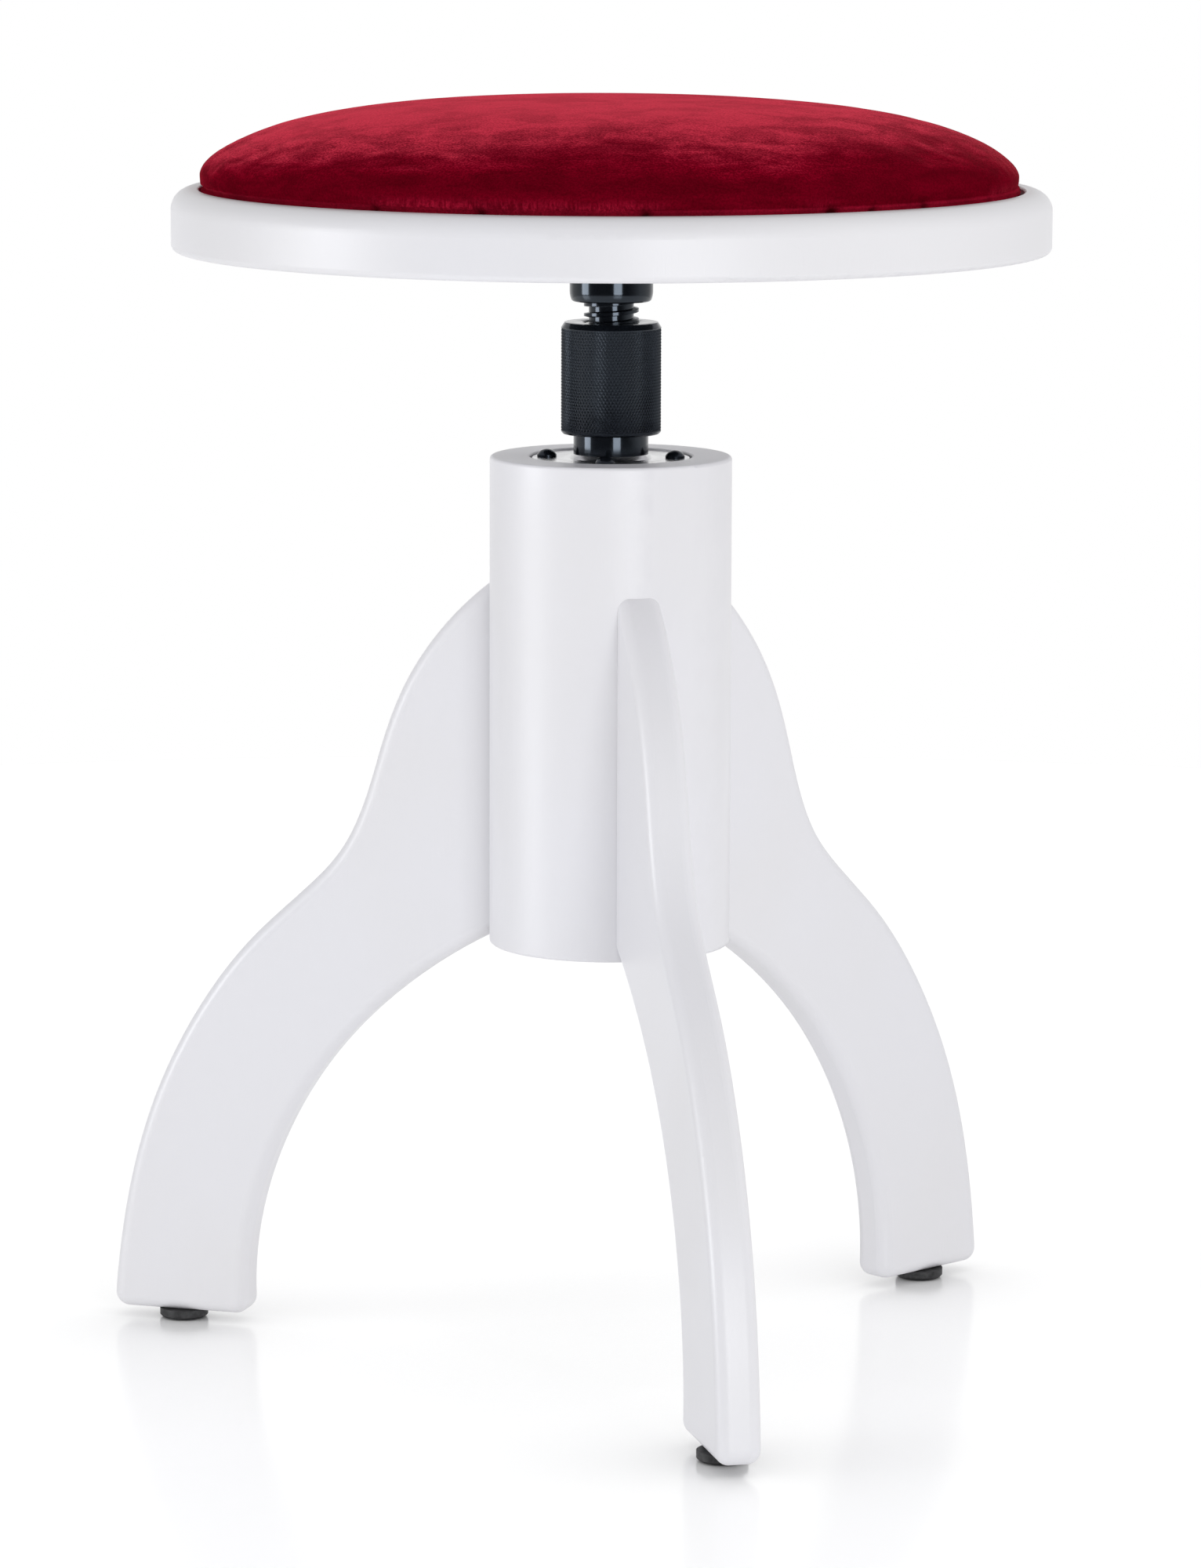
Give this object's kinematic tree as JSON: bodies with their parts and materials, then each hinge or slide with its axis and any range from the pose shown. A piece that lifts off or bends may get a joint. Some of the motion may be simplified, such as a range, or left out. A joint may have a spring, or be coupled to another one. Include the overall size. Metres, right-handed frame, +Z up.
{
  "type": "piano stool",
  "caption": "Round piano stool: a domed velvet seat on a screw spindle with a lock sleeve, carried by a turned white column on curved legs.",
  "frame": {"origin": "on the floor at the stool's upright axis, where the spindle's line meets the plane of the glides", "axes": "+Z up along the spindle, -Y towards the front leg, +X to the right of someone facing +Y"},
  "size_m": [0.3726, 0.3873, 0.5082],
  "materials": {
    "white_lacquer": "white satin lacquer over turned and sawn wood",
    "beech": "plain beech",
    "plywood": "plain plywood",
    "black_steel": "gloss black",
    "bright_steel": "zinc plated",
    "brass": "plain turned brass",
    "black_plastic": "matt moulded",
    "pale_plastic": "plain turned plastic",
    "velvet": "dark red velvet with a brushed pile",
    "foam": "cut upholstery foam"
  },
  "bodies": {
    "base": {"column": "white_lacquer", "leg_dowels": "beech", "leg_right": "white_lacquer", "leg_left": "white_lacquer", "leg_front": "white_lacquer", "glide_right": "black_plastic", "glide_left": "black_plastic", "glide_front": "black_plastic", "glide_nails": "bright_steel", "flange_plate": "bright_steel", "flange_screws": "black_steel", "guide_tube": "black_steel", "lift_nut": "brass"},
    "guide": {"guide_bush": "pale_plastic"},
    "seat": {"spindle": "black_steel", "end_washer": "bright_steel", "end_screw": "bright_steel", "spindle_hub": "black_steel", "seat_plate": "black_steel", "plate_screws": "black_steel", "hub_washer": "bright_steel", "hub_bolt": "bright_steel", "seat_disc": "white_lacquer", "cushion_cover": "velvet", "cushion_foam": "foam", "cushion_board": "plywood", "cushion_screws": "bright_steel"},
    "lock_ring": {"lock_washer": "bright_steel"},
    "lock": {"lock_sleeve": "black_steel"}
  },
  "joints": [
    {"name": "seat_height", "type": "slide", "parent": "base", "child": "guide", "axis": [0, 0, 1], "range_m": [-0.006, 0.1]},
    {"name": "seat_turn", "type": "hinge", "parent": "guide", "child": "seat", "pos_m": [0, 0, 0.4], "axis": [0, 0, 1], "range_deg": [-545, 9005]},
    {"name": "lock_rise", "type": "slide", "parent": "base", "child": "lock_ring", "axis": [0, 0, 1], "range_m": [0, 0.002]},
    {"name": "lock_turn", "type": "hinge", "parent": "lock_ring", "child": "lock", "pos_m": [0, 0, 0.4], "axis": [0, 0, 1], "range_deg": [0, 181]}
  ],
  "couplings": [
    {"joint": "seat_turn", "follows": "seat_height", "rad_per_m": 1570.8},
    {"joint": "lock_turn", "follows": "lock_rise", "rad_per_m": 1570.8}
  ]
}
